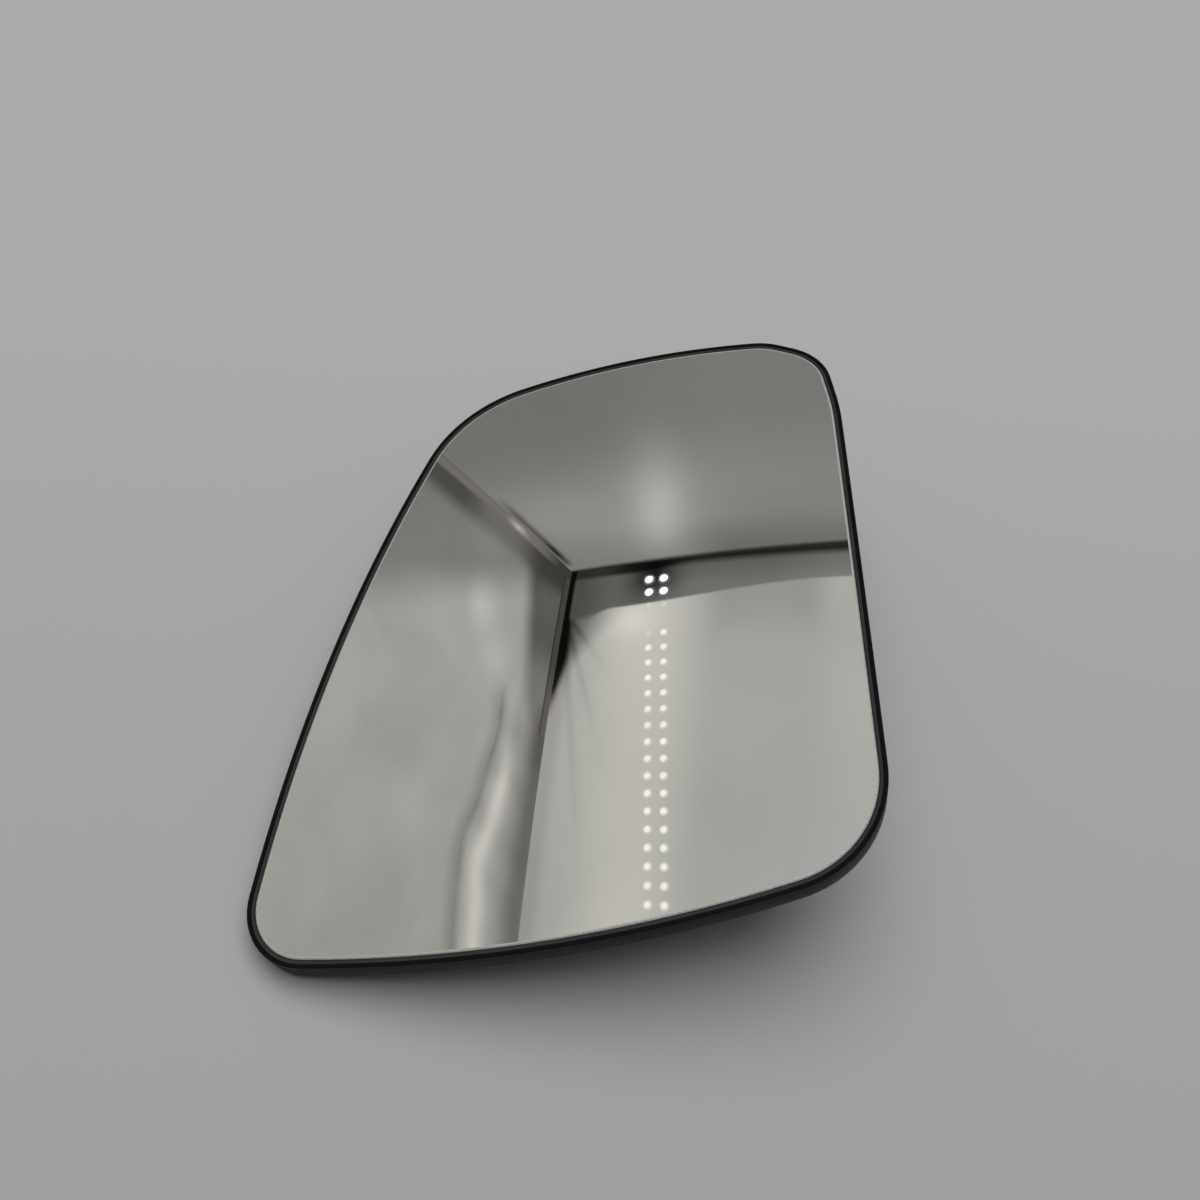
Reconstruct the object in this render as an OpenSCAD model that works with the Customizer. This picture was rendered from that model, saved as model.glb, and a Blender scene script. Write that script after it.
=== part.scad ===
// Car door mirror glass on its clip-in holder.
// Units are millimetres. The clip ring stands on the floor at z = 0 and its axis
// is the z axis. The glass leans on that axis, with its straight edge along y.

/* [Outline] */
// growth of the whole outline, edge moved outwards
outline_grow = 0; // [-6:0.1:10]
// corner beside the low end of the straight edge: x, y, radius
corner_low_right = [36.1, -42.7, 25.8];
// soft bend near the high end of the straight edge: x, y, radius
bend_right = [-18.2, 57.2, 80.6];
// tight corner at the high end of the straight edge: x, y, radius
corner_top_right = [46.9, 72.0, 14.2];
// bend from the short slanted flat into the top edge: x and y from the tight corner, radius
slant_top = [-4.0, 1.9, 14.2];
// large rounded corner above the slanted side: x, y, radius
corner_top_left = [-10.7, 43.1, 37.1];
// tight corner below the slanted side: x, y, radius
corner_low_left = [-61.0, -67.1, 12.8];
// radius of the bow of the top edge
bow_top_r = 206; // [150:1:1200]
// radius of the bow of the slanted side
bow_side_r = 507; // [300:1:1200]
// radius of the bow of the bottom edge
bow_bottom_r = 318; // [240:1:1200]

/* [Glass] */
// radius of the convex face
glass_radius = 1400; // [900:10:1650]
// thickness of the glass
glass_t = 2.0; // [1.6:0.1:2.4]
// gap between the glass edge and the holder
glass_gap = 0.15; // [0.1:0.05:0.3]

/* [Pad] */
// thickness of the foam bonding pad
pad_t = 0.8; // [0.4:0.1:1.5]
// how far the pad stays inside the glass edge
pad_inset = 2.5; // [1:0.5:6]
// diameter of the round vent opening in the pad
pad_vent_d = 22; // [12:1:30]

/* [Holder] */
// thickness of the holder plate
plate_t = 1.8; // [1.4:0.1:2.6]
// width of the low ledge that frames the glass
ledge_w = 0.85; // [0.5:0.05:1.5]
// width of the raised bead outside the ledge
bead_w = 0.95; // [0.7:0.05:1.6]
// height of the bead over the glass face
bead_h = 0.35; // [0.1:0.05:1]
// how far the ledge lies below the glass face
ledge_drop = 0.12; // [0:0.02:0.5]
// depth of the stiffening skirt below the plate
skirt_h = 0.9; // [0.4:0.1:3]
// wall of the skirt
skirt_w = 1.5; // [1:0.1:2.5]

/* [Clip ring] */
// inside radius of the clip ring, where the motor drive enters
ring_r = 27.5; // [22:0.5:34]
// wall of the clip ring
ring_wall = 2.2; // [1.8:0.1:3]
// depth of the bore between its mouth and the shoulder
bore_depth = 15; // [11:1:17]
// width of the shoulder that stops the motor drive
shoulder_w = 1.6; // [1:0.1:2.5]
// roll of the glass about its straight edge
glass_roll = 14; // [4:0.5:18]
// pitch of the glass along its straight edge
glass_pitch = 6.5; // [2:0.5:9]
// air left under the lowest corner
corner_lift = 0.4; // [0.2:0.1:3]
// number of snap tongues
tongues = 4; // [3:1:6]
// width of each snap tongue
tongue_w = 11; // [7:0.5:15]
// width of the slits beside a tongue
slit_w = 1.6; // [1.2:0.1:2.5]
// depth of the slits from the ring face
slit_h = 11; // [8:0.5:14]
// radius of the snap bead on the tongues
snap_r = 0.9; // [0.5:0.1:1.3]
// height of the snap bead over the ring face
snap_z = 2.6; // [2:0.1:5]
// radial depth of the lead-in chamfer outside the ring mouth
lead_in = 0.8; // [0.4:0.1:1.2]

/* [Ribs] */
// number of ribs and gussets around the clip ring
rib_count = 8; // [6:1:12]
// thickness of the ribs
rib_t = 1.4; // [1:0.1:2]
// reach of the ribs from the ring axis
rib_reach = 56; // [45:1:58]
// height of the ribs below the plate at the ring
rib_h = 9; // [5:0.5:12]
// height of the ribs at their outer ends, over the sag of the plate
rib_foot = 2.6; // [2:0.1:4]
// thickness of the low spokes between the ribs and the skirt
spoke_t = 1.1; // [0.8:0.1:1.6]
// radius of the round rib around the clip ring
hoop_r = 47; // [42:0.5:52]
// depth of the round rib below the plate
hoop_h = 2.6; // [1.5:0.1:4]

/* [Hidden] */
$fn = 96;
far = 60;
bend_top = [
    corner_top_right.x + slant_top.x,
    corner_top_right.y + slant_top.y,
    slant_top.z
];
arcs = [
    corner_low_right,
    bend_right,
    corner_top_right,
    bend_top,
    bow(bend_top, corner_top_left, bow_top_r),
    corner_top_left,
    bow(corner_top_left, corner_low_left, bow_side_r),
    corner_low_left,
    bow(corner_low_left, corner_low_right, bow_bottom_r)
];
straights = 4;
edge_in = outline_grow;
ledge_out = edge_in + glass_gap + ledge_w;
rim_out = ledge_out + bead_w;
pad_r = glass_radius - glass_t;
plate_r = pad_r - pad_t;
back_r = plate_r - plate_t;
skirt_r = back_r - skirt_h;
ring_out = ring_r + ring_wall;
lead_h = lead_in * 1.5;
rib_slope = (rib_h - rib_foot) / (rib_reach - ring_out);

// lowest corner of the rim, and how far it hangs below the crown of the glass
low_reach = corner_low_left.z + rim_out;
low_x = corner_low_left.x - low_reach * cos(45);
low_y = corner_low_left.y - low_reach * sin(45);
low_sag = (low_x * low_x + low_y * low_y) / (2 * glass_radius);
low_depth = glass_radius - skirt_r + low_sag;
crown_z = corner_lift - low_x * sin(glass_roll) * cos(glass_pitch)
    - low_y * sin(glass_pitch)
    + low_depth * cos(glass_roll) * cos(glass_pitch);

// Outline made of tangent arcs, counter-clockwise: four corners, two bends and
// three bows. The first four arcs are joined by straight lines, the rest touch.

// Arc of radius r that both corners touch from inside, as x, y, radius.
function bow(a, b, r) =
    let (
        reach_a = r - a.z,
        reach_b = r - b.z,
        span = norm([b.x - a.x, b.y - a.y]),
        along = (reach_a * reach_a - reach_b * reach_b + span * span) / (2 * span),
        aside = sqrt(reach_a * reach_a - along * along),
        ex = (b.x - a.x) / span,
        ey = (b.y - a.y) / span
    )
    [a.x + ex * along - ey * aside, a.y + ey * along + ex * aside, r];

// Direction of the normal where one arc hands over to the next.
function hand_over(a, b) =
    let (ratio = (a.z - b.z) / norm([b.x - a.x, b.y - a.y]))
    atan2(b.y - a.y, b.x - a.x) - acos(max(-1, min(1, ratio)));

function turn(from, to) = (to - from) - 360 * floor((to - from) / 360);

function arc_steps(sweep, r) = ceil(max(sweep / 9, sweep * r * PI / 180 / 14));

function outline(grow) = [
    for (i = [0 : len(arcs) - 1])
        let (
            last = arcs[(i + len(arcs) - 1) % len(arcs)],
            this = arcs[i],
            next = arcs[(i + 1) % len(arcs)],
            start = hand_over(last, this),
            sweep = turn(start, hand_over(this, next)),
            steps = arc_steps(sweep, this.z),
            first = i < straights ? 0 : 1
        )
        for (k = [first : steps - (i == len(arcs) - 1 ? 1 : 0)])
            [
                this.x + (this.z + grow) * cos(start + sweep * k / steps),
                this.y + (this.z + grow) * sin(start + sweep * k / steps)
            ]
];

module prism(grow) {
    translate([0, 0, -far / 2])
        linear_extrude(height = far)
            polygon(outline(grow));
}

// Ball whose crown lies at the given radius, under the glass origin.
module dome(r) {
    translate([0, 0, -glass_radius])
        sphere(r = r, $fn = 360);
}

// Moves what is drawn in the frame of the glass to its leaning place.
module leaning() {
    translate([0, 0, crown_z])
        rotate([glass_pitch, 0, 0])
            rotate([0, -glass_roll, 0])
                children();
}

module mirror_glass() {
    color([0.72, 0.73, 0.72])
        leaning()
            difference() {
                intersection() {
                    prism(edge_in);
                    dome(glass_radius);
                }
                dome(pad_r);
            }
}

module adhesive_pad() {
    color([0.16, 0.16, 0.17])
        leaning()
            difference() {
                intersection() {
                    prism(edge_in - pad_inset);
                    dome(pad_r);
                }
                dome(plate_r);
                cylinder(r = pad_vent_d / 2, h = far, center = true);
            }
}

// Front of the holder moulding: plate, skirt, ledge and raised bead.
module holder_plate() {
    color([0.06, 0.06, 0.065])
        leaning()
            difference() {
                intersection() {
                    prism(rim_out);
                    dome(glass_radius + bead_h);
                }
                intersection() {
                    prism(rim_out - skirt_w);
                    dome(back_r);
                }
                dome(skirt_r);
                difference() {
                    prism(edge_in + glass_gap);
                    dome(plate_r);
                }
                difference() {
                    prism(ledge_out);
                    dome(glass_radius - ledge_drop);
                }
            }
}

// Ring with its lead-in, the snap bead and the shoulder that stops the drive.
module ring_body() {
    difference() {
        union() {
            translate([0, 0, lead_h])
                cylinder(r = ring_out, h = far);
            cylinder(r1 = ring_out - lead_in, r2 = ring_out, h = lead_h);
            translate([0, 0, snap_z])
                rotate_extrude()
                    translate([ring_out, 0])
                        circle(r = snap_r, $fn = 24);
        }
        translate([0, 0, -1])
            cylinder(r = ring_r, h = bore_depth + 1);
        translate([0, 0, -1])
            cylinder(r = ring_r - shoulder_w, h = far + lead_h + 2);
    }
}

// Slits that free the snap tongues.
module slits() {
    for (i = [0 : tongues - 1])
        rotate([0, 0, 45 + i * 360 / tongues])
            for (side = [-1, 1])
                translate([ring_r - 2, side * (tongue_w + slit_w) / 2 - slit_w / 2, -1])
                    cube([ring_wall + 4, slit_w, slit_h + 1]);
}

// Radial gussets on the ring that run out as ribs under the plate.
module ribs() {
    for (i = [0 : rib_count - 1])
        rotate([0, 0, (i + 0.5) * 360 / rib_count])
            translate([0, rib_t / 2, 0])
                rotate([90, 0, 0])
                    linear_extrude(height = rib_t)
                        polygon([
                            [ring_r - ring_wall, -rib_h - rib_slope * 2 * ring_wall],
                            [rib_reach, -rib_foot],
                            [rib_reach, far / 4],
                            [ring_r - ring_wall, far / 4]
                        ]);
}

// Low spokes that carry the ribs on to the skirt.
module spokes() {
    difference() {
        intersection() {
            union() {
                for (i = [0 : rib_count - 1])
                    rotate([0, 0, (i + 0.5) * 360 / rib_count])
                        translate([ring_r, -spoke_t / 2, -far / 2])
                            cube([2 * far, spoke_t, far]);
            }
            prism(rim_out - skirt_w);
        }
        dome(skirt_r);
    }
}

// Round rib that ties the straight ribs together.
module hoop() {
    difference() {
        cylinder(r = hoop_r + rib_t / 2, h = far, center = true);
        cylinder(r = hoop_r - rib_t / 2, h = far + 2, center = true);
        dome(back_r - hoop_h);
    }
}

// Back of the holder moulding: clip ring, gussets, straight ribs and round rib.
module clip_ring() {
    color([0.08, 0.08, 0.085])
        intersection() {
            union() {
                difference() {
                    ring_body();
                    slits();
                }
                difference() {
                    leaning() {
                        translate([0, 0, back_r - glass_radius])
                            ribs();
                        hoop();
                        spokes();
                    }
                    cylinder(r = ring_r + ring_wall / 2, h = far);
                }
            }
            leaning()
                dome(back_r);
        }
}

mirror_glass();
adhesive_pad();
holder_plate();
clip_ring();
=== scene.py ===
import bpy, math
from mathutils import Matrix, Vector


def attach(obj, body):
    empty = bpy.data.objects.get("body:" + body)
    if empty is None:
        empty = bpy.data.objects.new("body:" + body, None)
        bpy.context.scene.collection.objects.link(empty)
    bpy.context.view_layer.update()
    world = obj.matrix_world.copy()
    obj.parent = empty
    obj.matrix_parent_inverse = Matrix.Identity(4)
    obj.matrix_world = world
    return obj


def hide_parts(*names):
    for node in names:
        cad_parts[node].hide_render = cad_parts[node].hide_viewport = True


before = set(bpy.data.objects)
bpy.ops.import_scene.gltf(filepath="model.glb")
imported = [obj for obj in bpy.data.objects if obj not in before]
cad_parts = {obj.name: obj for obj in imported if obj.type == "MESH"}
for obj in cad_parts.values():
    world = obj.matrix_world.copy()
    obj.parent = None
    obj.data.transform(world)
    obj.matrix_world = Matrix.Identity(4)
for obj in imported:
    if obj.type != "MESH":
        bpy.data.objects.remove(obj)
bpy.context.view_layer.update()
mm = 0.001

# lengths are in millimetres and angles in degrees, as in the CAD source, unless a note says metres
lean = {
    "roll": 14.0,            # about the straight edge
    "pitch": 6.5,            # along the straight edge
    "cornerLift": 0.4,       # lowest corner of the rim over the floor
    "cornerTurn": 45,        # where on that corner its lowest point lies
}
layers = {
    "faceRadius": 1400.0,    # convex face
    "glass": 2.0,
    "pad": 0.8,
    "plate": 1.8,
    "skirt": 0.9,            # how far the skirt goes on below the plate
}
outline = {
    # centre x, centre y and radius of each arc
    "lowRight": (36.1, -42.7, 25.8),
    "rightBend": (-18.2, 57.2, 80.6),
    "topRight": (46.9, 72.0, 14.2),
    "topBend": (42.9, 73.9, 14.2),
    "topLeft": (-10.7, 43.1, 37.1),
    "lowLeft": (-61.0, -67.1, 12.8),
    # radius of each bow, which touches the arcs on both sides of it
    "bowTop": 206.0,
    "bowSide": 507.0,
    "bowBottom": 318.0,
    "straightRuns": 3,       # the first arcs are joined by straight runs, the rest touch
    "gap": 1.6,              # between points along an arc
    "looseGap": 1.6,         # between points on a straight run, in gaps of an arc
    "fewestSteps": 6,        # in one arc
}
rim = {
    "gap": 0.15,             # between the glass and the holder
    "ledge": 0.85,
    "ledgeDrop": 0.12,       # below the face of the glass
    "ledgeChamfer": 0.12,
    "bead": 0.95,
    "beadHeight": 0.35,
    "beadRound": 0.40,       # height of its rounded part
    "beadArc": 170,
    "beadSteps": 8,
    # foot of the bead: distance past the ledge, height over the ledge
    "beadFoot": ((-0.10, 0.02), (0.0, 0.06), (0.03, 0.20)),
    "grooveDepth": 0.05,
    "grooveLevels": (-0.35, -0.42, -0.52, -0.60),
    # lower edge of the skirt: distance in from the outside, height over the edge
    "skirtRound": ((0.0, 0.35), (0.10, 0.10), (0.35, 0.0)),
    "skirtWall": 1.5,
    "skirtChamfer": 0.2,
    "inset": 0.6,            # first ring of the plate, inside the rim
    "plateRings": (0.93, 0.8, 0.6, 0.4, 0.2, 0.06),
    "sharpAngle": 35,
}
rimOut = rim["gap"] + rim["ledge"] + rim["bead"]
plateTop = -(layers["glass"] + layers["pad"])
plateBack = plateTop - layers["plate"]
skirtLevel = plateBack - layers["skirt"]


def crownHeight():
    # height of the middle of the glass, from the lift of the lowest corner
    centreX, centreY, radius = outline["lowLeft"]
    reach, turn = radius + rimOut, math.radians(lean["cornerTurn"])
    lowX, lowY = centreX - reach * math.cos(turn), centreY - reach * math.sin(turn)
    depth = (lowX ** 2 + lowY ** 2) / (2 * layers["faceRadius"]) - skirtLevel
    r, p = math.radians(lean["roll"]), math.radians(lean["pitch"])
    return (lean["cornerLift"] - lowX * math.sin(r) * math.cos(p)
            - lowY * math.sin(p) + depth * math.cos(r) * math.cos(p))


toWorld = (Matrix.Translation((0, 0, crownHeight() * mm))
           @ Matrix.Rotation(math.radians(lean["pitch"]), 4, "X")
           @ Matrix.Rotation(math.radians(-lean["roll"]), 4, "Y"))


def place(x, y, z):
    # a point of the leaning glass, as a world point in metres
    return toWorld @ Vector((x * mm, y * mm, z * mm))


def domeHeight(x, y, above):
    r = layers["faceRadius"] + above
    return math.sqrt(r * r - x * x - y * y) - layers["faceRadius"]


def bowArc(a, b, r):
    # arc of radius r that touches both corners from outside them
    reachA, reachB = r - a[2], r - b[2]
    dx, dy = b[0] - a[0], b[1] - a[1]
    span = math.hypot(dx, dy)
    along = (reachA ** 2 - reachB ** 2 + span ** 2) / (2 * span)
    aside = math.sqrt(reachA ** 2 - along ** 2)
    return (a[0] + dx / span * along - dy / span * aside,
            a[1] + dy / span * along + dx / span * aside, r)


def handOver(a, b):
    # outward direction where the outline leaves arc a for arc b
    ratio = (a[2] - b[2]) / math.hypot(b[0] - a[0], b[1] - a[1])
    return math.atan2(b[1] - a[1], b[0] - a[0]) - math.acos(max(-1, min(1, ratio)))


def outlineArcs():
    s = outline
    return [s["lowRight"], s["rightBend"], s["topRight"], s["topBend"],
            bowArc(s["topBend"], s["topLeft"], s["bowTop"]), s["topLeft"],
            bowArc(s["topLeft"], s["lowLeft"], s["bowSide"]), s["lowLeft"],
            bowArc(s["lowLeft"], s["lowRight"], s["bowBottom"])]


def arcStations():
    arcs = outlineArcs()
    points = []
    for i, arc in enumerate(arcs):
        start = handOver(arcs[i - 1], arc)
        sweep = (handOver(arc, arcs[(i + 1) % len(arcs)]) - start) % (2 * math.pi)
        steps = max(outline["fewestSteps"], math.ceil(sweep * arc[2] / outline["gap"]))
        # a point that two touching arcs share is kept once
        first = 1 if i > outline["straightRuns"] else 0
        last = steps - 1 if i == len(arcs) - 1 else steps
        for k in range(first, last + 1):
            turn = start + sweep * k / steps
            dx, dy = math.cos(turn), math.sin(turn)
            points.append((arc[0] + arc[2] * dx, arc[1] + arc[2] * dy, dx, dy))
    return points


def makeStations():
    # every station is a point on the outline and its outward direction
    points = arcStations()
    full = []
    for i, s in enumerate(points):
        full.append(s)
        t = points[(i + 1) % len(points)]
        gap = math.hypot(t[0] - s[0], t[1] - s[1])
        cuts = int(gap // (outline["gap"] * outline["looseGap"]))
        for k in range(1, cuts + 1):
            f = k / (cuts + 1)
            full.append(tuple(s[j] + (t[j] - s[j]) * f for j in range(4)))
    return full


stations = makeStations()
print("outline stations", len(stations))


def newPiece(name, verts, faces, materials, faceSlots=None, sharpAngle=30):
    mesh = bpy.data.meshes.new(name)
    mesh.from_pydata(verts, [], faces)
    for m in materials:
        mesh.materials.append(m)
    if faceSlots:
        for poly, slotNumber in zip(mesh.polygons, faceSlots):
            poly.material_index = slotNumber
    mesh.validate()
    mesh.shade_smooth()
    mesh.set_sharp_from_angle(angle=math.radians(sharpAngle))
    piece = bpy.data.objects.new(name, mesh)
    bpy.context.scene.collection.objects.link(piece)
    return piece


def ringAt(grow, above, drop=0.0, share=1.0):
    # one closed ring of points on a dome: the outline, offset by grow, drawn in by share
    ring = []
    for x, y, dx, dy in stations:
        px, py = (x + dx * grow) * share, (y + dy * grow) * share
        ring.append(place(px, py, domeHeight(px, py, above) - drop))
    return ring


def bandFaces(a, b, flip=False):
    # quads between the rings that start at points a and b
    n = len(stations)
    faces = []
    for i in range(n):
        j = (i + 1) % n
        faces.append((a + i, a + j, b + j, b + i) if flip else (a + i, b + i, b + j, a + j))
    return faces


def fanFaces(a, middle, flip=False):
    # triangles from the ring that starts at point a to one middle point
    n = len(stations)
    faces = []
    for i in range(n):
        j = (i + 1) % n
        faces.append((a + j, middle, a + i) if flip else (a + i, middle, a + j))
    return faces


def newMaterial(name):
    material = bpy.data.materials.new(name)
    material.use_nodes = True
    tree = material.node_tree
    return material, tree, tree.nodes["Principled BSDF"]


def addNoise(tree, scale, detail, rough):
    coords = tree.nodes.new("ShaderNodeTexCoord")
    noise = tree.nodes.new("ShaderNodeTexNoise")
    noise.inputs["Scale"].default_value = scale
    noise.inputs["Detail"].default_value = detail
    noise.inputs["Roughness"].default_value = rough
    tree.links.new(coords.outputs["Object"], noise.inputs["Vector"])
    return noise


def addRamp(tree, source, stops):
    # each stop is where it stands and its tone or colour
    ramp = tree.nodes.new("ShaderNodeValToRGB")
    while len(ramp.color_ramp.elements) < len(stops):
        ramp.color_ramp.elements.new(0.5)
    for element, (at, value) in zip(ramp.color_ramp.elements, stops):
        element.position = at
        element.color = (*value, 1) if isinstance(value, tuple) else (value, value, value, 1)
    tree.links.new(source, ramp.inputs["Fac"])
    return ramp


def addBump(tree, shader, noise, strength, depth):
    bump = tree.nodes.new("ShaderNodeBump")
    bump.inputs["Strength"].default_value = strength
    bump.inputs["Distance"].default_value = depth
    tree.links.new(noise.outputs["Fac"], bump.inputs["Height"])
    tree.links.new(bump.outputs["Normal"], shader.inputs["Normal"])


glass = {
    "arris": 0.30,           # width of the ground bevel
    "arrisDrop": 0.22,
    "arrisMiddle": (0.10, 0.55),     # distance in from the outside, share of the drop
    "margin": 0.26,          # clear line between the bevel and the silver
    "backArris": 0.1,
    "frontRings": 35,
    "firstRing": 0.04,       # size of the innermost ring, as a share
    "backRings": (0.97, 0.75, 0.5, 0.25),
    "sharpAngle": 18,
    "silver": (0.80, 0.795, 0.775),
    "hazed": 0.985,          # what faint haze leaves of the silver's tone
    "hazeNoise": (38.0, 6.0, 0.62),
    "hazeTint": (0.3, 0.75),         # where in the noise it starts and is full
    "film": [(0.45, 0.012), (0.9, 0.05)],     # roughness, clear and dusty
    "ground": [(0.3, (0.31, 0.305, 0.29)), (0.7, (0.49, 0.48, 0.46))],
    "groundRough": 0.33,
    "groundMetal": 0.25,
    "gritNoise": (2600.0, 3.0, 0.6),
    "gritBump": (0.35, 0.00004),     # strength, depth in metres
}


def makeSilver():
    material, tree, shader = newMaterial("silveredGlass")
    shader.inputs["Metallic"].default_value = 1.0
    haze = addNoise(tree, *glass["hazeNoise"])
    hazedSilver = tuple(c * glass["hazed"] for c in glass["silver"])
    tint = addRamp(tree, haze.outputs["Fac"], list(zip(glass["hazeTint"], (glass["silver"], hazedSilver))))
    tree.links.new(tint.outputs["Color"], shader.inputs["Base Color"])
    film = addRamp(tree, haze.outputs["Fac"], glass["film"])
    tree.links.new(film.outputs["Color"], shader.inputs["Roughness"])
    return material


def makeGroundEdge():
    material, tree, shader = newMaterial("groundGlassEdge")
    shader.inputs["Roughness"].default_value = glass["groundRough"]
    shader.inputs["Metallic"].default_value = glass["groundMetal"]
    grit = addNoise(tree, *glass["gritNoise"])
    tone = addRamp(tree, grit.outputs["Fac"], glass["ground"])
    tree.links.new(tone.outputs["Color"], shader.inputs["Base Color"])
    addBump(tree, shader, grit, *glass["gritBump"])
    return material


def makeGlass():
    # rings from the middle of the face over the ground edge to the middle of the back
    silverSlot, groundSlot = 0, 1
    arris, arrisDrop, backArris = glass["arris"], glass["arrisDrop"], glass["backArris"]
    middleIn, middleDrop = glass["arrisMiddle"]
    back = -layers["glass"]
    outermost = glass["frontRings"] - 1
    rings = []
    for k in range(glass["frontRings"]):
        share = glass["firstRing"] + (1 - glass["firstRing"]) * (k / outermost)
        rings.append(ringAt(-(arris + glass["margin"]), 0.0, share=share))
    # the pale line of ground edge also shows through the clear margin outside the silver
    groundRings = [ringAt(-arris, 0.0), ringAt(-middleIn, 0.0, arrisDrop * middleDrop),
                   ringAt(0.0, 0.0, arrisDrop),
                   ringAt(0.0, back, -backArris), ringAt(-backArris, back)]
    rings += groundRings
    rings += [ringAt(0.0, back, share=share) for share in glass["backRings"]]

    verts = [place(0, 0, 0)]
    for ring in rings:
        verts += ring
    verts.append(place(0, 0, back))
    n = len(stations)
    faces = fanFaces(1, 0, True)
    slots = [silverSlot] * n
    for r in range(len(rings) - 1):
        faces += bandFaces(1 + r * n, 1 + (r + 1) * n)
        onEdge = outermost <= r < outermost + len(groundRings)
        slots += [groundSlot if onEdge else silverSlot] * n
    faces += fanFaces(1 + (len(rings) - 1) * n, len(verts) - 1)
    slots += [silverSlot] * n
    return newPiece("glassSheet", verts, faces, [makeSilver(), makeGroundEdge()],
                    slots, glass["sharpAngle"])


glassSheet = makeGlass()
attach(glassSheet, "root")
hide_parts("mirror_glass")
print("glass made")


holderLook = {
    "mouldedPlastic": {
        "dark": (0.0055, 0.0054, 0.0052), "light": (0.010, 0.0098, 0.0094),
        "rough": (0.46, 0.62), "shine": 0.22, "grain": 1700, "grainDepth": 0.00006,
    },
    # painted light: the ledge is the same black plastic as the body, given a lighter tone; its roughness
    # is its finish
    "ledgePaintedLightPlastic": {
        "dark": (0.017, 0.0167, 0.0175), "light": (0.028, 0.0274, 0.0285),
        "rough": (0.45, 0.60), "shine": 0.3, "grain": 2600, "grainDepth": 0.00003,
    },
    # painted shade: the bead is the same black plastic, given a darker tone than the body; its roughness
    # is its finish
    "beadPaintedShadePlastic": {
        "dark": (0.0016, 0.0016, 0.0018), "light": (0.003, 0.003, 0.0034),
        "rough": (0.22, 0.32), "shine": 0.12, "grain": 2200, "grainDepth": 0.00002,
    },
    # the same for all three; depths of the grain are in metres
    "mottleNoise": (95.0, 5.0, 0.55),
    "toneStops": (0.3, 0.72),
    "roughStops": (0.3, 0.75),
    "grainDetail": (2.0, 0.5),
    "grainStrength": 0.4,
}


def makePlastic(name):
    look = holderLook[name]
    material, tree, shader = newMaterial(name)
    shader.inputs["Specular IOR Level"].default_value = look["shine"]
    mottle = addNoise(tree, *holderLook["mottleNoise"])
    toneStops = list(zip(holderLook["toneStops"], (look["dark"], look["light"])))
    tone = addRamp(tree, mottle.outputs["Fac"], toneStops)
    tree.links.new(tone.outputs["Color"], shader.inputs["Base Color"])
    sheen = addRamp(tree, mottle.outputs["Fac"], list(zip(holderLook["roughStops"], look["rough"])))
    tree.links.new(sheen.outputs["Color"], shader.inputs["Roughness"])
    grain = addNoise(tree, look["grain"], *holderLook["grainDetail"])
    addBump(tree, shader, grain, holderLook["grainStrength"], look["grainDepth"])
    return material


body, ledge, bead = 0, 1, 2      # materials of the holder, in the order of makeRim


def rimProfile():
    # each point is its distance from the outline, level over the face of the glass and material
    gap, chamfer, wall = rim["gap"], rim["ledgeChamfer"], rimOut - rim["skirtWall"]
    ledgeOut = gap + rim["ledge"]
    ledgeLevel = -rim["ledgeDrop"]
    profile = [(-rim["inset"], plateTop, body), (gap, plateTop, body),
               (gap, ledgeLevel - chamfer, ledge), (gap + chamfer, ledgeLevel, ledge)]
    for past, over in rim["beadFoot"]:
        profile.append((ledgeOut + past, ledgeLevel + over, ledge if past < 0 else bead))
    for k in range(rim["beadSteps"] + 1):
        turn = math.radians(rim["beadArc"] - k * rim["beadArc"] / rim["beadSteps"])
        profile.append((ledgeOut + rim["bead"] / 2 + math.cos(turn) * rim["bead"] / 2,
                        rim["beadHeight"] - rim["beadRound"] + math.sin(turn) * rim["beadRound"], bead))
    grooveTop, grooveIn, grooveOut, grooveEnd = rim["grooveLevels"]
    profile += [(rimOut, grooveTop, bead), (rimOut - rim["grooveDepth"], grooveIn, body),
                (rimOut - rim["grooveDepth"], grooveOut, body), (rimOut, grooveEnd, body)]
    profile += [(rimOut - inward, skirtLevel + over, body) for inward, over in rim["skirtRound"]]
    profile += [(wall + rim["skirtChamfer"], skirtLevel, body),
                (wall, skirtLevel + rim["skirtChamfer"], body),
                (wall, plateBack, body), (wall - rim["inset"], plateBack, body)]
    return profile


def makeRim():
    profile = rimProfile()
    n = len(stations)
    lastRing = (len(profile) - 1) * n
    verts, faces, slots = [], [], []
    for grow, level, _ in profile:
        verts += ringAt(grow, level)
    for r in range(len(profile) - 1):
        faces += bandFaces(r * n, (r + 1) * n, True)
        slots += [profile[r + 1][2]] * n
    # the plate inside the rim: its front under the pad, and its back
    for start, grow, level, isFront in ((0, profile[0][0], plateTop, True),
                                        (lastRing, profile[-1][0], plateBack, False)):
        for share in rim["plateRings"]:
            faces += bandFaces(start, len(verts), isFront)
            start = len(verts)
            verts += ringAt(grow, level, share=share)
        faces += fanFaces(start, len(verts), isFront)
        verts.append(place(0, 0, level))
    slots += [body] * (len(faces) - len(slots))
    plastics = [bodyPlastic, makePlastic("ledgePaintedLightPlastic"), makePlastic("beadPaintedShadePlastic")]
    return newPiece("holderPlate", verts, faces, plastics, slots, rim["sharpAngle"])


bodyPlastic = makePlastic("mouldedPlastic")
holderRim = makeRim()
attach(holderRim, "root")
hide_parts("holder_plate")


def dressNode(name, material):
    # a CAD node that keeps its shape and takes a material
    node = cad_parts[name]
    node.data.materials.clear()
    node.data.materials.append(material)


dressNode("clip_ring", bodyPlastic)
print("holder made")


foam = {
    "tone": [(0.3, (0.025, 0.025, 0.028)), (0.7, (0.07, 0.07, 0.075))],
    "rough": 0.9,
    "cellNoise": (1500.0, 3.0, 0.7),
    "cellBump": (0.6, 0.00015),      # strength, depth in metres
}


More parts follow.
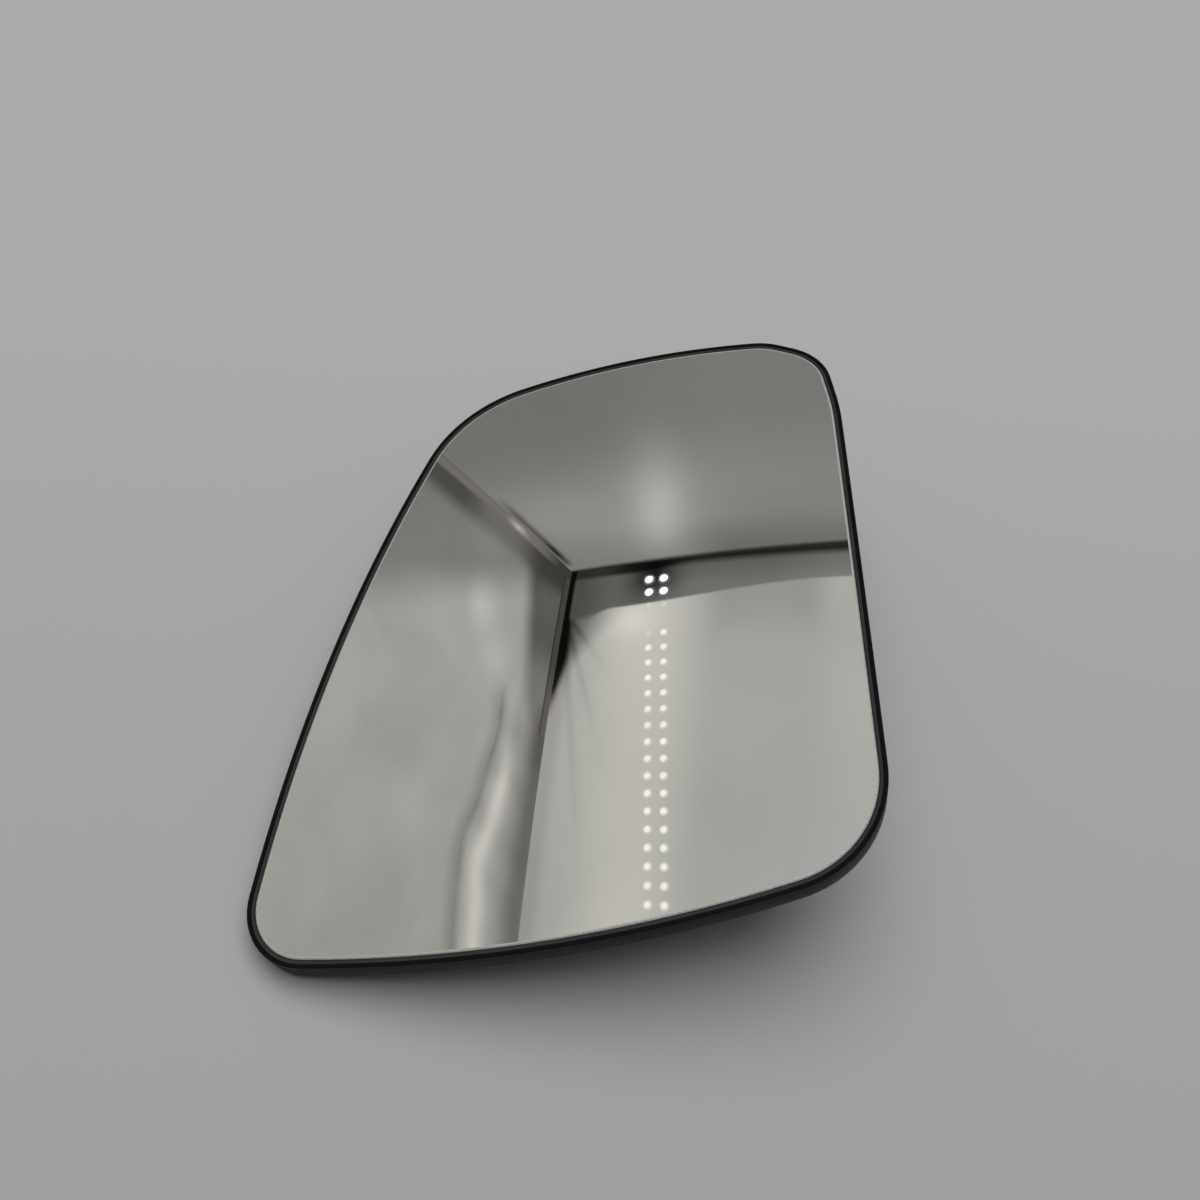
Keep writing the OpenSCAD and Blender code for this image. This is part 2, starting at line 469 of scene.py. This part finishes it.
def makeFoam():
    material, tree, shader = newMaterial("foamTape")
    cells = addNoise(tree, *foam["cellNoise"])
    tone = addRamp(tree, cells.outputs["Fac"], foam["tone"])
    tree.links.new(tone.outputs["Color"], shader.inputs["Base Color"])
    shader.inputs["Roughness"].default_value = foam["rough"]
    addBump(tree, shader, cells, *foam["cellBump"])
    return material


dressNode("adhesive_pad", makeFoam())
print("foam pad dressed")


floorLook = {
    "half": 2.4,             # metres, as are the two ends of the fade along y
    "fade": (-0.16, 0.14),
    # painted shade: the front colour is darker than the back
    "front": (0.306, 0.304, 0.305),
    "back": (0.36, 0.36, 0.358),
    "rough": 0.85,
    "shine": 0.15,
}


def makeFloor():
    half = floorLook["half"]
    corners = [(-half, -half, 0), (half, -half, 0), (half, half, 0), (-half, half, 0)]
    floor = newPiece("floor", corners, [(0, 1, 2, 3)], [])
    material, tree, shader = newMaterial("floorSheet")
    # painted shade: a little darker towards the front
    coords = tree.nodes.new("ShaderNodeTexCoord")
    parts = tree.nodes.new("ShaderNodeSeparateXYZ")
    tree.links.new(coords.outputs["Object"], parts.inputs["Vector"])
    slope = tree.nodes.new("ShaderNodeMapRange")
    slope.inputs["From Min"].default_value = floorLook["fade"][0]
    slope.inputs["From Max"].default_value = floorLook["fade"][1]
    tree.links.new(parts.outputs["Y"], slope.inputs["Value"])
    stops = [(0.0, floorLook["front"]), (1.0, floorLook["back"])]
    ramp = addRamp(tree, slope.outputs["Result"], stops)
    tree.links.new(ramp.outputs["Color"], shader.inputs["Base Color"])
    shader.inputs["Roughness"].default_value = floorLook["rough"]
    shader.inputs["Specular IOR Level"].default_value = floorLook["shine"]
    floor.data.materials.append(material)


makeFloor()


# painted reflection: the cloth room that the glass reflects, a back wall, a left wall and a ceiling that
# meet in one corner, seen by the glass alone; its sheets glow with painted light and shade and are no
# lamps
room = {
    "corner": (-153.5, 533.8, 676.9),
    "up": (0.2689, 0.1092, 0.9570),
    "near": (-0.1148, -0.9828, 0.1444),
    "right": (0.9563, -0.1487, -0.2517),
    "plain": (0.395, 0.395, 0.392),      # tone far out, and of the world that a camera sees
    "plainFrom": 520,        # distance from the corner
    "plainBefore": 40,       # from the end of a panel
    "foldDetail": (3.0, 0.5),
    "foldBend": 0.6,
    "foldStops": (0.3, 0.7),
    "warm": (1.0, 0.985, 0.93),      # colour of a grey
    "tan": (0.0, 0.05, 0.07),        # what a tan edge takes away from it
}


def softPoint(right, near, up):
    # a point of the room, by its distances from the corner
    local = (Vector(room["corner"]) + Vector(room["right"]) * right
             + Vector(room["near"]) * near + Vector(room["up"]) * up)
    return toWorld @ (local * mm)


def glowMaterial(name, colour=(1.0, 1.0, 1.0), strength=1.0):
    # it glows and sends out no light
    material = bpy.data.materials.new(name)
    material.use_nodes = True
    tree = material.node_tree
    tree.nodes.remove(tree.nodes["Principled BSDF"])
    glow = tree.nodes.new("ShaderNodeEmission")
    glow.inputs["Color"].default_value = (*colour, 1)
    glow.inputs["Strength"].default_value = strength
    tree.links.new(glow.outputs["Emission"], tree.nodes["Material Output"].inputs["Surface"])
    material.cycles.emission_sampling = "NONE"
    return material, tree, glow


def clothMaterial(name, foldScale, change):
    # the painted light and shade of the panel, changed a little by the painted shade of soft folds
    material, tree, glow = glowMaterial(name)
    folds = addNoise(tree, foldScale, *room["foldDetail"])
    folds.inputs["Distortion"].default_value = room["foldBend"]
    stops = list(zip(room["foldStops"], (1 - change, 1 + change)))
    ramp = addRamp(tree, folds.outputs["Fac"], stops)
    painted = tree.nodes.new("ShaderNodeVertexColor")
    painted.layer_name = "shade"
    mix = tree.nodes.new("ShaderNodeMix")
    mix.data_type = "RGBA"
    mix.blend_type = "MULTIPLY"
    mix.inputs["Factor"].default_value = 1.0
    tree.links.new(ramp.outputs["Color"], mix.inputs["A"])
    tree.links.new(painted.outputs["Color"], mix.inputs["B"])
    tree.links.new(mix.outputs["Result"], glow.inputs["Color"])
    return material


def reflectedOnly(piece):
    piece.visible_camera = False
    piece.visible_diffuse = False
    piece.visible_shadow = False


def warmGrey(tone, tan=0.0):
    return tuple(tone * (warm - taken * tan) for warm, taken in zip(room["warm"], room["tan"]))


def smooth(t):
    t = max(0.0, min(1.0, t))
    return t * t * (3 - 2 * t)


def rise(x, start, length):
    # 0 up to the start, 1 past the length, soft in between
    return smooth((x - start) / length)


def grow(x, step):
    # soft step up to an amount; a step is its amount, start and length
    return step[0] * rise(x, step[1], step[2])


def fade(x, step):
    # soft step down from an amount to nothing
    return step[0] * (1 - rise(x, step[1], step[2]))


def bell(x, line):
    # soft line; a line is its amount, middle and half width
    return line[0] * math.exp(-((x - line[1]) / line[2]) ** 2)


def spot(x, y, patch):
    # soft spot of painted light or shade: its amount, middle, half width and how flat it is
    amount, middleX, middleY, halfWidth, flat = patch
    a, b = x - middleX, (y - middleY) * flat
    return amount * math.exp(-((a * a + b * b) / (halfWidth * halfWidth)))


def waves(x, ripples):
    # a ripple is its height, length and start
    return sum(height * math.sin(x / length + start) for height, length, start in ripples)


def dim(low, share):
    # factor from low to 1
    return low + (1 - low) * share


def blend(a, b, share):
    return a + (b - a) * share


def softPanel(name, wall, toPoint, shade):
    # a grid panel; shade gives how bright each point of it glows
    sizeA, sizeB = wall["size"]
    stepsA, stepsB = wall["steps"]
    start = room["plainFrom"]
    verts, faces, tones = [], [], []
    for i in range(stepsA + 1):
        for j in range(stepsB + 1):
            # finer steps near the corner
            a = sizeA * (i / stepsA) ** 2
            b = sizeB * (j / stepsB) ** 2
            verts.append(softPoint(*toPoint(a, b)))
            # far out the panel takes the plain tone, so that its end doesn't show
            far = max(rise(a, start, sizeA - start - room["plainBefore"]),
                      rise(b, start, sizeB - start - room["plainBefore"]))
            tones.append([blend(c, p, far) for c, p in zip(shade(a, b), room["plain"])])
    for i in range(stepsA):
        for j in range(stepsB):
            k = i * (stepsB + 1) + j
            faces.append((k, k + 1, k + stepsB + 2, k + stepsB + 1))
    panel = newPiece(name, verts, faces, [clothMaterial(name + "Cloth", *wall["folds"])])
    layer = panel.data.color_attributes.new("shade", "FLOAT_COLOR", "POINT")
    for k, tone in enumerate(tones):
        layer.data[k].color = (*tone, 1)
    reflectedOnly(panel)


# in the room, three numbers are the amount, start and length of a step, or the amount, middle
# and half width of a line; two are start and length alone, unless a note says otherwise
backWall = {
    "size": (1500, 900),     # to the right, down
    "steps": (160, 140),     # of the grid
    "folds": (5.0, 0.04),    # scale, change of tone
    "tone": 0.205,
    # painted light: lighter near the ceiling and to the right
    "upperStep": (0.045, 150, 150),
    "rightStep": (0.03, 150, 200),
    # painted light: soft upright glow above the first lamps
    "glowAt": (166, 127),    # right, down
    "glowLean": 0.33,
    "glowPeak": 113,         # down
    "glowUp": 78,
    "glowDown": 105,
    "glowLayers": ((0.19, 30, 1.0), (0.09, 75, 0.8)),     # amount, half width, squeeze upright
    # painted light: a soft pool of light to the left
    "leftLightPool": (0.085, 42, 130, 72, 1),     # amount, right, down, half width, flatness
    # painted shade: darker under the ceiling, far to the right
    "darkUpper": (0.075, 15, 90),
    "darkRight": (150, 70),
    # shadow in the joints with the left wall and with the ceiling
    "jointAt": (1.0, 6, 5),
    "jointUpper": (0.6, 150, 60),
    "jointStart": (12, 15),
    "jointDeep": (0.34, 60, 26),
    "ceilingJoint": 0.13,
    "ceilingStep": (-3, 11),
    "ceilingSlope": 35,      # length over which the joint drops by one
    "darkest": 0.015,
}


# painted light and shade of the back wall
def backShade(right, down):
    w = backWall
    tone = w["tone"] + fade(down, w["upperStep"]) + grow(right, w["rightStep"])
    across = right - w["glowAt"][0] - w["glowLean"] * (down - w["glowAt"][1])
    off = down - w["glowPeak"]
    height = off / (w["glowDown"] if off > 0 else w["glowUp"])
    for amount, halfWidth, upright in w["glowLayers"]:
        tone += amount * math.exp(-(across / halfWidth) ** 2 - height * height * upright)
    tone += spot(right, down, w["leftLightPool"])
    tone -= fade(down, w["darkUpper"]) * rise(right, *w["darkRight"])
    line = fade(down, w["jointUpper"]) * rise(down, *w["jointStart"]) + bell(down, w["jointDeep"])
    tone *= 1 - line * bell(right, w["jointAt"])
    tone *= dim(w["ceilingJoint"], rise(down - right / w["ceilingSlope"], *w["ceilingStep"]))
    return warmGrey(max(tone, w["darkest"]))


strip = {
    # how far the folded strip hangs below the ceiling
    "hang": 12,
    "hangSteps": ((88, 55, 140), (36, 250, 120), (-14, 390, 90)),
    "edgeWaves": ((5, 33, 0.8), (2.5, 14, 0)),       # height, length, start
    "wavesFrom": (130, 90),
    # its painted light and shade, first closed and then opened; across it, 0 is the ceiling and 1 the free
    # edge
    "opens": (245, 60),
    "topTone": (0.11, 0.17),     # closed, opened
    "gain": (0.24, 0.22),        # closed, opened
    "gainOver": (0.09, 0.47),
    # painted highlight along a crease, which waves; a fainter one while the strip is closed
    "creaseHighlight": (0.27, 0.70, 0.13),
    "creaseHighlightWaves": ((0.03, 29, 0), (0.02, 12, 0)),
    "closedCreaseHighlight": (0.08, 0.78, 0.12),
    # painted shade of small ripples
    "ripple": 0.025,
    "rippleLength": 9.0,
    "rippleSlant": 5,
    # painted shade: darker towards the free edge
    "edgeTone": 0.68,
    "edgeWidth": 0.12,
}


def stripEdge(near):
    hang = strip["hang"] + sum(grow(near, step) for step in strip["hangSteps"])
    return hang + waves(near, strip["edgeWaves"]) * rise(near, *strip["wavesFrom"])


# painted light and shade of the hanging strip
def stripShade(near, across):
    s = strip
    opened = rise(near, *s["opens"])
    tone = blend(*s["topTone"], opened) + blend(*s["gain"], opened) * rise(across, *s["gainOver"])
    tone += opened * bell(across - waves(near, s["creaseHighlightWaves"]), s["creaseHighlight"])
    tone += (1 - opened) * bell(across, s["closedCreaseHighlight"])
    tone += s["ripple"] * math.sin(near / s["rippleLength"] + s["rippleSlant"] * across) * across
    return tone * dim(s["edgeTone"], smooth((1 - across) / s["edgeWidth"]))


leftWall = {
    "size": (1500, 900),     # towards the front, down
    "steps": (330, 240),     # of the grid
    "folds": (9.0, 0.08),    # scale, change of tone
    "tone": 0.225,
    # painted light: lighter towards the front past a slanting line
    "slant": 0.467,
    "slantFrom": 151,        # down
    "frontStep": (0.21, 55, 68),
    "farStep": (0.045, 320, 130),
    "cornerStep": (0.04, 150, 110),
    "cornerNear": (60, 60),
    # amount, near, down, half width, flatness
    # painted highlights on the creases and one faint patch, then faint painted ripples of shade
    "paintedHighlights": ((0.14, 128, 172, 27, 1), (0.10, 176, 132, 27, 1), (0.03, 150, 240, 30, 0.7)),
    "ripple": 0.008,
    "rippleLengths": (23, 31),       # near, down
    # painted shade: the wall darkens upwards, up to where the strip hangs free
    "closeTone": 0.27,
    "closeStep": (0.20, 110, 60),
    "closeFrom": (75, 40),
    "closeSlope": (47, 4),   # where it is level, and length over which it rises by one
    "freeFrom": (185, 45),
    # painted shadow under the strip
    "underStrip": 0.74,
    "underReach": 24,
    # painted shade: dark hollow beside the upright rod, deepest at both ends
    "hollow": 0.055,
    "hollowSteps": ((0.115, 60, 95), (-0.095, 175, 85)),
    "hollowDepth": 0.92,
    "hollowFrom": (9, 6),
    "hollowTo": (1, 28, 26),
}
uprightRod = {
    "width": 13,
    "tone": 0.15,
    # painted shade and light across the round rod
    "round": (0.05, 9, 5),
    "roundFrom": (0, 3),
    # painted highlight: one bright stretch along the rod
    "shine": 0.36,           # one bright stretch
    "shineAt": ((1, 138, 18), (1, 6, 4.6)),      # along the rod, across it
    # painted shade: darker towards the top
    "upper": 0.30,
    "upperStep": (25, 70),
    "tan": (0.8, 1.6),       # plain, added by the shine
}
levelRod = {
    "height": 16,
    "length": 230,
    "tone": 0.075,
    # painted light: lighter towards the front
    "frontStep": (0.06, 130, 70),
    # painted shade: darker along its underside
    "under": 0.45,
    "underStep": (1, 10, 5),
    "tan": 1.0,
}


def wallCloth(near, down):
    # painted light and shade of the soft wall: lighter towards the front, with painted highlights on two
    # bright creases
    w = leftWall
    slant = near - w["slant"] * (down - w["slantFrom"])
    tone = w["tone"] + grow(slant, w["frontStep"]) - grow(near, w["farStep"])
    tone += fade(down, w["cornerStep"]) * (1 - rise(near, *w["cornerNear"]))
    tone += sum(spot(near, down, patch) for patch in w["paintedHighlights"])
    acrossLength, downLength = w["rippleLengths"]
    return tone + w["ripple"] * math.sin(near / acrossLength - down / downLength)


def wallUnderStrip(near, down):
    # the strip hangs free only some way out; before that the wall just darkens upwards in painted shade
    w = leftWall
    tone = wallCloth(near, down)
    low = w["closeTone"] + grow(near, w["closeStep"])
    closeAt, closeRun = w["closeSlope"]
    close = tone * dim(low, rise(down + (near - closeAt) / closeRun, *w["closeFrom"]))
    edge = stripEdge(near)
    if down < edge:
        hung = stripShade(near, down / max(edge, 1))
    else:
        # painted shadow under the free edge of the strip
        hung = tone * dim(w["underStrip"], smooth((down - edge) / w["underReach"]))
    return blend(close, hung, rise(near, *w["freeFrom"]))


def leftShade(near, down):
    w = leftWall
    if near < uprightRod["width"]:
        rod = uprightRod
        lengthwise, across = rod["shineAt"]
        # painted highlight and painted shade of the rod over its tan colour
        shine = bell(down, lengthwise) * bell(near, across)
        tone = rod["tone"] + rise(near, *rod["roundFrom"]) * fade(near, rod["round"])
        tone = (tone + rod["shine"] * shine) * dim(rod["upper"], rise(down, *rod["upperStep"]))
        return warmGrey(tone, rod["tan"][0] + rod["tan"][1] * shine)
    if down < levelRod["height"] and near < levelRod["length"]:
        rod = levelRod
        tone = rod["tone"] + grow(near, rod["frontStep"])
        return warmGrey(tone * dim(rod["under"], fade(down, rod["underStep"])), rod["tan"])
    # painted shade in the hollow beside the rod
    deep = w["hollow"] + sum(grow(down, step) for step in w["hollowSteps"])
    share = w["hollowDepth"] * rise(near, *w["hollowFrom"]) * fade(near, w["hollowTo"])
    return warmGrey(blend(wallUnderStrip(near, down), deep, share))


ceiling = {
    "size": (1500, 1500),    # to the right, towards the front
    "steps": (260, 340),     # of the grid
    "folds": (7.0, 0.03),    # scale, change of tone
    # painted light: bright stretched cloth, brightest beside the lamps
    "tone": 0.49,
    "rightSteps": ((0.10, 15, 85), (-0.13, 135, 75), (0.05, 290, 70)),
    "lampLine": (0.03, 125, 30),
    "lampGlow": (0.06, 110, 90),
    "lampGlowAcross": (1, 95, 50),
    "lampLightPool": (0.15, 92, 84, 30, 1.3),     # amount, right, near, half width, flatness
    # painted shade: darker far to the left and close on the right
    "leftFar": ((0.03, 280, 120), (1, 40, 80)),      # near, right
    "rightClose": ((0.075, 60, 80), (160, 50), (1, 295, 40)),    # near, right, its right end
    # painted shade beside the strip and in the fan folds
    "stripShade": 0.72,
    "stripFrom": 8,
    "stripReach": 20,
    "stripWide": (60, 65, 85),
    "stripEnds": (0.75, 110, 80),
    "fanFrom": 60,
    "fanFades": (1, 20, 70),
    "fan": ((1.3, 0.08, 8), (2.6, 0.08, 13), (5.0, 0.06, 26)),     # slope, depth, half width
    # grey border with a soft edge, dark behind the first lamps
    "edge": 63,
    "edgeRight": (20, 60, 270),
    "edgeLeft": (12, 25, 40),
    "soft": 3,
    "softLeft": (14, 20, 45),
    "border": 0.15,
    "borderFront": (0.055, 16, 30),
    "borderFrontRight": (90, 80),
    "borderFar": (0.04, 240, 100),
    "borderLeft": 0.60,
    "borderLeftStep": (15, 55),
    "lampDark": (0.93, 113, 22, 31, 1),      # amount, right, near, half width, flatness
    # painted shadow: black line where the border meets the back wall
    "black": 0.10,
    "blackLeft": (0.24, 25, 60),
    "widen": (90, 80),
    "blackLine": 11,
    "blackWiden": 10,
    "blackSoft": 7,
    # painted shade: black gap beside the level rod
    "gap": 6,
    "gapStep": (3, 60, 50),
    "gapEnds": (1, 125, 60),
    "gapTone": 0.03,
    "gapSoft": 4,
    "gapSoftStep": (6, 60, 60),
    "gapClear": (165, 45),
    "darkest": 0.004,
}


# painted light and shade of the stretched ceiling cloth
def ceilingCloth(right, near):
    c = ceiling
    farNear, farRight = c["leftFar"]
    closeNear, closeRight, closeEnds = c["rightClose"]
    tone = c["tone"] + sum(grow(right, step) for step in c["rightSteps"]) + bell(right, c["lampLine"])
    tone += fade(near, c["lampGlow"]) * bell(right, c["lampGlowAcross"])
    tone += spot(right, near, c["lampLightPool"])
    tone -= grow(near, farNear) * fade(right, farRight)
    tone -= fade(near, closeNear) * rise(right, *closeRight) * fade(right, closeEnds)
    reach = c["stripReach"] + fade(near, c["stripWide"])
    beside = 1 - rise(right, c["stripFrom"], reach)
    tone *= 1 - c["stripShade"] * beside * (1 - grow(near, c["stripEnds"]))
    for slope, depth, halfWidth in c["fan"]:
        foldShade = bell(near - right * slope, (depth, c["fanFrom"], halfWidth))
        tone -= foldShade * fade(right, c["fanFades"])
    return tone


def ceilingBorder(right, near):
    c = ceiling
    tone = c["border"] + grow(right, c["borderFar"])
    tone += grow(near, c["borderFront"]) * rise(right, *c["borderFrontRight"])
    tone *= dim(c["borderLeft"], rise(right, *c["borderLeftStep"]))
    return tone * (1 - spot(right, near, c["lampDark"]))


def ceilingShade(right, near):
    c = ceiling
    edge = c["edge"] - grow(right, c["edgeRight"]) + fade(right, c["edgeLeft"])
    soft = c["soft"] + fade(right, c["softLeft"])
    inside = smooth((near - edge + soft / 2) / soft)
    tone = blend(ceilingBorder(right, near), ceilingCloth(right, near), inside)
    widen = rise(right, *c["widen"])
    black = c["black"] + fade(right, c["blackLeft"])
    line = c["blackLine"] - c["blackWiden"] * widen
    tone *= dim(black, rise(near, line, c["blackSoft"] * (1 + widen)))
    gap = (c["gap"] + grow(near, c["gapStep"])) * fade(near, c["gapEnds"])
    clear = dim(c["gapTone"], rise(right, gap, c["gapSoft"] + grow(near, c["gapSoftStep"])))
    tone *= dim(clear, rise(near, *c["gapClear"]))
    return warmGrey(max(tone, c["darkest"]))


softPanel("wallBack", backWall, lambda right, down: (right, 0, -down), backShade)
softPanel("wallLeft", leftWall, lambda near, down: (0, near, -down), leftShade)
softPanel("ceiling", ceiling, lambda right, near: (right, near, 0), ceilingShade)
print("cloth room made")


lamps = {
    "rows": 2,
    "pairs": 21,
    "first": (161.4, 90.3),  # right and near
    "rowGap": 16.0,
    "pairGap": 17.02,
    "turn": 0.1,             # of the rows, radians
    "shift": 3.0,            # of the first pair towards the front, less for the next ones
    "shiftFades": 2.5,       # pairs
    "level": -117.7,
    "sides": 20,
    "barePairs": 2,
    "hiddenPair": 3,
    "faintLamps": ((0, 2), (1, 2), (0, 4)),      # row, pair
    # colour and strength of each glow
    "glows": {
        "bareLamp": ((0.93, 1.0, 1.0), 1.9),
        "veiledLamp": ((1.0, 0.985, 0.93), 1.12),
        "lampHalo": ((1.0, 0.985, 0.93), 0.78),
        "lampGlare": ((0.80, 0.96, 1.0), 0.17),
    },
    # glow, radius and how far it lies behind, for each disc of a lamp
    "bare": (("bareLamp", 4.4, 0), ("lampGlare", 6.6, 1.0)),
    "veiled": (("veiledLamp", 2.9, 0), ("lampHalo", 4.3, 1.0)),
    "faint": (("lampHalo", 3.3, 0),),
    "hidden": (),
}


def lampKind(row, k):
    # the first pairs are bare, the rest shine through cloth, a few of them weakly
    if k < lamps["barePairs"]:
        return "bare"
    if k == lamps["hiddenPair"]:
        return "hidden"
    return "faint" if (row, k) in lamps["faintLamps"] else "veiled"


def makeLampRows():
    glows = list(lamps["glows"])
    run, sides = lamps["pairGap"], lamps["sides"]
    verts, faces, slots = [], [], []
    for row in range(lamps["rows"]):
        for k in range(lamps["pairs"]):
            right = lamps["first"][0] + row * lamps["rowGap"] + run * k * math.sin(lamps["turn"])
            near = lamps["first"][1] + run * k * math.cos(lamps["turn"])
            near += lamps["shift"] * math.exp(-k / lamps["shiftFades"])
            for glow, radius, behind in lamps[lampKind(row, k)]:
                first = len(verts)
                for a in range(sides):
                    turn = 2 * math.pi * a / sides
                    verts.append(softPoint(right + radius * math.cos(turn),
                                           near + radius * math.sin(turn), lamps["level"] + behind))
                faces.append(tuple(range(first, first + sides)))
                slots.append(glows.index(glow))
    materials = [glowMaterial(name, *lamps["glows"][name])[0] for name in glows]
    reflectedOnly(newPiece("lampRows", verts, faces, materials, slots))


makeLampRows()
print("lamp rows made")


roomLight = {
    # brightness from the horizon (0) up to overhead (1)
    "sky": [(0.0, 0.0), (0.25, 0.02), (0.62, 0.28), (1.0, 0.60)],
    "roof": 2.5,
    "roofWide": 62,
    "roofFrom": (0.0, 0.18, 1.0),
}


def makeWorld():
    # light comes mostly from above, as under a cloth roof; the camera sees a plain pale room
    world = bpy.data.worlds.new("softRoom")
    bpy.context.scene.world = world
    world.use_nodes = True
    tree = world.node_tree
    background = tree.nodes["Background"]
    coords = tree.nodes.new("ShaderNodeTexCoord")
    parts = tree.nodes.new("ShaderNodeSeparateXYZ")
    tree.links.new(coords.outputs["Generated"], parts.inputs["Vector"])
    ramp = addRamp(tree, parts.outputs["Z"], roomLight["sky"])
    tree.links.new(ramp.outputs["Color"], background.inputs["Color"])
    plain = tree.nodes.new("ShaderNodeBackground")
    plain.inputs["Color"].default_value = (*room["plain"], 1)
    path = tree.nodes.new("ShaderNodeLightPath")
    seen = path.outputs["Is Camera Ray"]
    for ray in ("Is Glossy Ray", "Is Transmission Ray"):
        either = tree.nodes.new("ShaderNodeMath")
        either.operation = "MAXIMUM"
        tree.links.new(seen, either.inputs[0])
        tree.links.new(path.outputs[ray], either.inputs[1])
        seen = either.outputs["Value"]
    mix = tree.nodes.new("ShaderNodeMixShader")
    tree.links.new(seen, mix.inputs["Fac"])
    tree.links.new(background.outputs["Background"], mix.inputs[1])
    tree.links.new(plain.outputs["Background"], mix.inputs[2])
    tree.links.new(mix.outputs["Shader"], tree.nodes["World Output"].inputs["Surface"])


def makeRoofLight():
    # broad soft light from above and a little behind, so the shadow falls to the front
    data = bpy.data.lights.new("clothRoof", "SUN")
    data.angle = math.radians(roomLight["roofWide"])
    data.energy = roomLight["roof"]
    light = bpy.data.objects.new("clothRoof", data)
    bpy.context.scene.collection.objects.link(light)
    light.rotation_euler = (-Vector(roomLight["roofFrom"])).to_track_quat("-Z", "Y").to_euler()
    light.visible_glossy = False


# the camera stands where the outline of the glass fits the photograph, in the frame of the glass
photoCamera = {
    "stands": (40.26, -151.67, 222.25),
    "right": (0.98704, 0.01842, -0.15940),
    "up": (0.07543, 0.82353, 0.56224),
    "sensor": 36.0,
    "lens": 34.02,
    "clipStart": 0.01,       # metres
}


def makeCamera():
    right, up = Vector(photoCamera["right"]), Vector(photoCamera["up"])
    local = Matrix((right, up, right.cross(up))).transposed().to_4x4()
    local.translation = Vector(photoCamera["stands"]) * mm
    data = bpy.data.cameras.new("photoCamera")
    data.sensor_width = photoCamera["sensor"]
    data.lens = photoCamera["lens"]
    data.clip_start = photoCamera["clipStart"]
    camera = bpy.data.objects.new("photoCamera", data)
    bpy.context.scene.collection.objects.link(camera)
    camera.matrix_world = toWorld @ local
    bpy.context.scene.camera = camera


makeWorld()
makeRoofLight()
makeCamera()
bpy.context.scene.view_settings.view_transform = "Standard"
print("light and camera ready")
